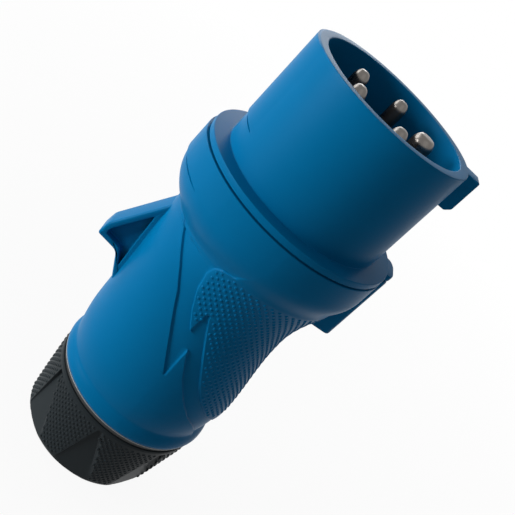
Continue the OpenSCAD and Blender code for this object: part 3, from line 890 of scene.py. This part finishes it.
scuffSizes = {  # faint streaks: where stretched noise passes a level
    "size": 90,
    "stretch": (1.0, 6.0, 14.0),
    "turn": (0.4, 0.2, 0.7),
    "from": 0.62,
    "soft": 0.02,
    "gain": 6.0,
    "paler": 0.3,
    "raised": 0.5,
}


# moulded surface: mottled colour, slow changes of gloss, fine grain and faint scuffs, on object coordinates
def makeMouldedGroup():
    group = bpy.data.node_groups.new("mouldedSurface", "ShaderNodeTree")
    face = group.interface
    for name, kind, value in [("Color", "NodeSocketColor", (0.5, 0.5, 0.5, 1)),
                              ("Mottle", "NodeSocketFloat", 0.06), ("Mottle Size", "NodeSocketFloat", 60.0),
                              ("Gloss", "NodeSocketFloat", 0.35), ("Gloss Change", "NodeSocketFloat", 0.08),
                              ("Grain Size", "NodeSocketFloat", 1500.0), ("Scuff", "NodeSocketFloat", 0.15)]:
        socket = face.new_socket(name=name, in_out="INPUT", socket_type=kind)
        socket.default_value = value
    for name, kind in [("Color", "NodeSocketColor"), ("Roughness", "NodeSocketFloat"),
                       ("Height", "NodeSocketFloat")]:
        face.new_socket(name=name, in_out="OUTPUT", socket_type=kind)
    nodes, links = group.nodes, group.links
    inside, outside = nodes.new("NodeGroupInput"), nodes.new("NodeGroupOutput")
    place = nodes.new("ShaderNodeTexCoord").outputs["Object"]

    # noise on object coordinates, turned and stretched where it makes streaks
    def noise(scale, detail, stretch=None):
        node = nodes.new("ShaderNodeTexNoise")
        node.inputs["Detail"].default_value = detail
        where = place
        if stretch:
            turn = nodes.new("ShaderNodeMapping")
            turn.inputs["Scale"].default_value = stretch
            turn.inputs["Rotation"].default_value = scuffSizes["turn"]
            links.new(place, turn.inputs["Vector"])
            where = turn.outputs["Vector"]
        links.new(where, node.inputs["Vector"])
        if isinstance(scale, (int, float)):
            node.inputs["Scale"].default_value = scale
        else:
            links.new(scale, node.inputs["Scale"])
        return node.outputs["Fac"]

    # one Math node from numbers and sockets
    def calculate(kind, *values):
        node = nodes.new("ShaderNodeMath")
        node.operation = kind
        for k, value in enumerate(values):
            if isinstance(value, (int, float)):
                node.inputs[k].default_value = value
            else:
                links.new(value, node.inputs[k])
        return node.outputs[0]

    broad, grain = noise(inside.outputs["Mottle Size"], 3), noise(inside.outputs["Grain Size"], 2)
    streak = noise(scuffSizes["size"], 4, scuffSizes["stretch"])
    strong = calculate("SMOOTH_MAX", calculate("SUBTRACT", streak, scuffSizes["from"]), 0.0,
                       scuffSizes["soft"])
    scratch = calculate("MULTIPLY", strong, scuffSizes["gain"])
    scuff = calculate("MULTIPLY", scratch, inside.outputs["Scuff"])
    centred = calculate("SUBTRACT", broad, 0.5)
    value = calculate("ADD", calculate("MULTIPLY", centred, inside.outputs["Mottle"]), 1.0)
    shade = nodes.new("ShaderNodeHueSaturation")
    links.new(inside.outputs["Color"], shade.inputs["Color"])
    paler = calculate("MULTIPLY", scuff, scuffSizes["paler"])
    links.new(calculate("ADD", value, paler), shade.inputs["Value"])
    links.new(shade.outputs["Color"], outside.inputs["Color"])
    gloss = calculate("MULTIPLY_ADD", centred, inside.outputs["Gloss Change"], inside.outputs["Gloss"])
    links.new(calculate("ADD", gloss, scuff), outside.inputs["Roughness"])
    raised = calculate("MULTIPLY", scuff, scuffSizes["raised"])
    links.new(calculate("ADD", grain, raised), outside.inputs["Height"])
    return group


mouldedGroup = makeMouldedGroup()
grainHeight = 0.00004  # metres


# material of one piece's finish: settings go into the moulded surface, fixed values onto the shader itself
def makeMaterial(name, color, settings, bump, **fixed):
    material = bpy.data.materials.new(name)
    material.use_nodes = True
    nodes, links = material.node_tree.nodes, material.node_tree.links
    shader = nodes["Principled BSDF"]
    surface = nodes.new("ShaderNodeGroup")
    surface.node_tree = mouldedGroup
    surface.inputs["Color"].default_value = screenColor(*color)
    for socket, value in settings.items():
        surface.inputs[socket].default_value = value
    raised = nodes.new("ShaderNodeBump")
    raised.inputs["Strength"].default_value = bump
    raised.inputs["Distance"].default_value = grainHeight
    links.new(surface.outputs["Color"], shader.inputs["Base Color"])
    links.new(surface.outputs["Roughness"], shader.inputs["Roughness"])
    links.new(surface.outputs["Height"], raised.inputs["Height"])
    links.new(raised.outputs["Normal"], shader.inputs["Normal"])
    for socket, value in fixed.items():
        shader.inputs[socket.replace("_", " ")].default_value = value
    return material


bluePlastic = makeMaterial("bluePlastic", (0, 98, 146), {
    "Mottle": 0.05, "Gloss": 0.36, "Gloss Change": 0.08, "Scuff": 0.05}, 0.12, Specular_IOR_Level=0.03)
charcoalPlastic = makeMaterial("charcoalPlastic", (34, 40, 43), {
    "Mottle": 0.08, "Gloss": 0.42, "Gloss Change": 0.1, "Scuff": 0.06}, 0.15, Specular_IOR_Level=0.05)
greyPlastic = makeMaterial("greyPlastic", (128, 134, 138), {
    "Mottle": 0.04, "Gloss": 0.45, "Scuff": 0.04}, 0.1)
blackRubber = makeMaterial("blackRubber", (22, 24, 25), {
    "Mottle": 0.12, "Gloss": 0.62, "Grain Size": 900.0, "Scuff": 0.1}, 0.3)
# plated brass given a colour darker than its own: painted shade, so the pins look as dark as metal standing
# in the shaded sleeve
platedBrass = makeMaterial("platedBrass", (106, 102, 98), {
    "Mottle": 0.12, "Mottle Size": 160.0, "Gloss": 0.28, "Gloss Change": 0.15, "Scuff": 0.12}, 0.1,
    Metallic=1.0)
platedSteel = makeMaterial("platedSteel", (196, 196, 194), {
    "Mottle": 0.1, "Mottle Size": 200.0, "Gloss": 0.3, "Gloss Change": 0.12, "Scuff": 0.1}, 0.1,
    Metallic=1.0)
slotMaterials = {
    "blue_plastic": bluePlastic, "charcoal_plastic": charcoalPlastic, "grey_plastic": greyPlastic,
    "black_rubber": blackRubber, "plated_brass": platedBrass, "plated_steel": platedSteel,
}

for obj in [o for o in bpy.data.objects if "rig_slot" in o]:
    obj.data.materials.clear()
    obj.data.materials.append(slotMaterials[obj["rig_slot"]])

# finishes of the CAD nodes: screws that aren't named here are steel, and the rest is plated brass darkened
# with painted shade
nodeFinishes = {
    "handle": bluePlastic, "front_housing": bluePlastic, "contact_carrier": bluePlastic,
    "gland_nut": charcoalPlastic, "carrier_screws": platedSteel,
    "terminal_block": greyPlastic, "slip_washer": greyPlastic, "clamp_cage": greyPlastic,
    "pressure_ring": greyPlastic, "housing_seal": blackRubber, "neck_seal": blackRubber,
    "cable_grommet": blackRubber,
}
for name, node in frame["nodes"].items():
    finish = nodeFinishes.get(name, platedSteel if name.endswith("screw") else platedBrass)
    for place in node.material_slots:
        place.material = finish
print("materials made")


stageSizes = {  # lengths in metres
    "floor": 12.0,  # half its side
    "floorBelow": 0.0002,
    "skyLevel": 0.17,  # soft light all round
    "floorWhite": 0.6,
    "shadowShare": 0.07,  # how much of the floor's own shading shows near the object
    "shadowReach": 0.55,  # metres over which that share fades to nothing
}


# 1 for camera, mirror and glass rays and 0 for the rays that light things: the largest of the three
def seenRays(nodes, links):
    rays = nodes.new("ShaderNodeLightPath")
    result = rays.outputs["Is Camera Ray"]
    for other in ("Is Glossy Ray", "Is Transmission Ray"):
        larger = nodes.new("ShaderNodeMath")
        larger.operation = "MAXIMUM"
        links.new(result, larger.inputs[0])
        links.new(rays.outputs[other], larger.inputs[1])
        result = larger.outputs[0]
    return result


# pale ground: mostly plain white to camera, mirror and glass rays, with a share of its own shaded colour
def makeFloorMaterial():
    material = bpy.data.materials.new("paleFloor")
    material.use_nodes = True
    nodes, links = material.node_tree.nodes, material.node_tree.links
    nodes.remove(nodes["Principled BSDF"])
    place, distance = nodes.new("ShaderNodeTexCoord"), nodes.new("ShaderNodeVectorMath")
    distance.operation = "LENGTH"
    links.new(place.outputs["Object"], distance.inputs[0])
    plain = nodes.new("ShaderNodeMapRange")  # plain white grows from 1 - share at the object to 1 far away
    plain.inputs["From Max"].default_value = stageSizes["shadowReach"]
    plain.inputs["To Min"].default_value = 1 - stageSizes["shadowShare"]
    links.new(distance.outputs["Value"], plain.inputs["Value"])
    part = nodes.new("ShaderNodeMath")
    part.operation = "MULTIPLY"
    links.new(seenRays(nodes, links), part.inputs[0])
    links.new(plain.outputs["Result"], part.inputs[1])
    matt, glow, both = (nodes.new(kind) for kind in ("ShaderNodeBsdfDiffuse", "ShaderNodeEmission",
                                                     "ShaderNodeMixShader"))
    matt.inputs["Color"].default_value = (stageSizes["floorWhite"],) * 3 + (1,)
    glow.inputs["Color"].default_value = (1, 1, 1, 1)
    links.new(part.outputs[0], both.inputs["Fac"])
    links.new(matt.outputs[0], both.inputs[1])
    links.new(glow.outputs[0], both.inputs[2])
    links.new(both.outputs[0], nodes["Material Output"].inputs["Surface"])
    return material


floorMesh = bpy.data.meshes.new("floor")
reach = stageSizes["floor"]
floorMesh.from_pydata([(-reach, -reach, 0), (reach, -reach, 0), (reach, reach, 0), (-reach, reach, 0)], [],
                      [(0, 1, 2, 3)])
floor = bpy.data.objects.new("floor", floorMesh)
floor.location.z = startBox[0][2] - stageSizes["floorBelow"]
floorMesh.materials.append(makeFloorMaterial())
bpy.context.scene.collection.objects.link(floor)

world = bpy.data.worlds.new("studio")
bpy.context.scene.world = world
world.use_nodes = True
worldNodes, worldLinks = world.node_tree.nodes, world.node_tree.links
sky = worldNodes["Background"]
sky.inputs["Color"].default_value = (1, 1, 1, 1)
level = worldNodes.new("ShaderNodeMapRange")
level.inputs["To Min"].default_value = stageSizes["skyLevel"]
level.inputs["To Max"].default_value = 1.0
worldLinks.new(seenRays(worldNodes, worldLinks), level.inputs["Value"])
worldLinks.new(level.outputs["Result"], sky.inputs["Strength"])

cameraSizes = {  # place and sensor in millimetres
    "place": (-232.25, 50.17, 207.06),
    "forward": (0.88354, -0.18780, -0.42905),
    "up": (0.44224, 0.63614, 0.63226),
    "lens": 59.417,
    "sensor": 36.0,
    "clip": (0.01, 20),  # metres
}
cameraData = bpy.data.cameras.new("camera")
cameraData.lens = cameraSizes["lens"]
cameraData.sensor_width = cameraSizes["sensor"]
cameraData.clip_start, cameraData.clip_end = cameraSizes["clip"]
camera = bpy.data.objects.new("camera", cameraData)
forward, up = Vector(cameraSizes["forward"]).normalized(), Vector(cameraSizes["up"]).normalized()
right = forward.cross(up).normalized()
turn = Matrix((right, right.cross(forward), -forward)).transposed()
camera.matrix_world = Matrix.Translation(Vector(cameraSizes["place"]) * mm) @ turn.to_4x4()
bpy.context.scene.collection.objects.link(camera)
bpy.context.scene.camera = camera


lampTarget = (0, 0, 90)
lampSizes = {  # metres along the camera's right, up and back directions, the lamp's size, and its power
    "keyLamp": ((-0.8, 0.5, 0.45), (0.5, 0.5), 16),
    "topLamp": ((-0.35, 0.9, -0.1), (0.7, 0.5), 5),
    "edgeLamp": ((0.2, 0.75, -0.65), (0.7, 0.45), 3),
    "fillLamp": ((0.5, 0.0, 0.9), (0.8, 0.8), 0.6),
}


# soft lamp that looks at the middle of the plug
def softLamp(name, along, size, power):
    data = bpy.data.lights.new(name, "AREA")
    data.shape = "RECTANGLE"
    data.size, data.size_y = size
    data.energy = power
    lamp = bpy.data.objects.new(name, data)
    aim = Vector(lampTarget) * mm
    place = aim + right * along[0] + right.cross(forward) * along[1] - forward * along[2]
    facing = (aim - place).to_track_quat("-Z", "Y").to_matrix().to_4x4()
    lamp.matrix_world = Matrix.Translation(place) @ facing
    bpy.context.scene.collection.objects.link(lamp)


for name, (along, size, power) in lampSizes.items():
    softLamp(name, along, size, power)

bpy.context.scene.view_settings.view_transform = "Standard"
print("stage, lamps and camera made")
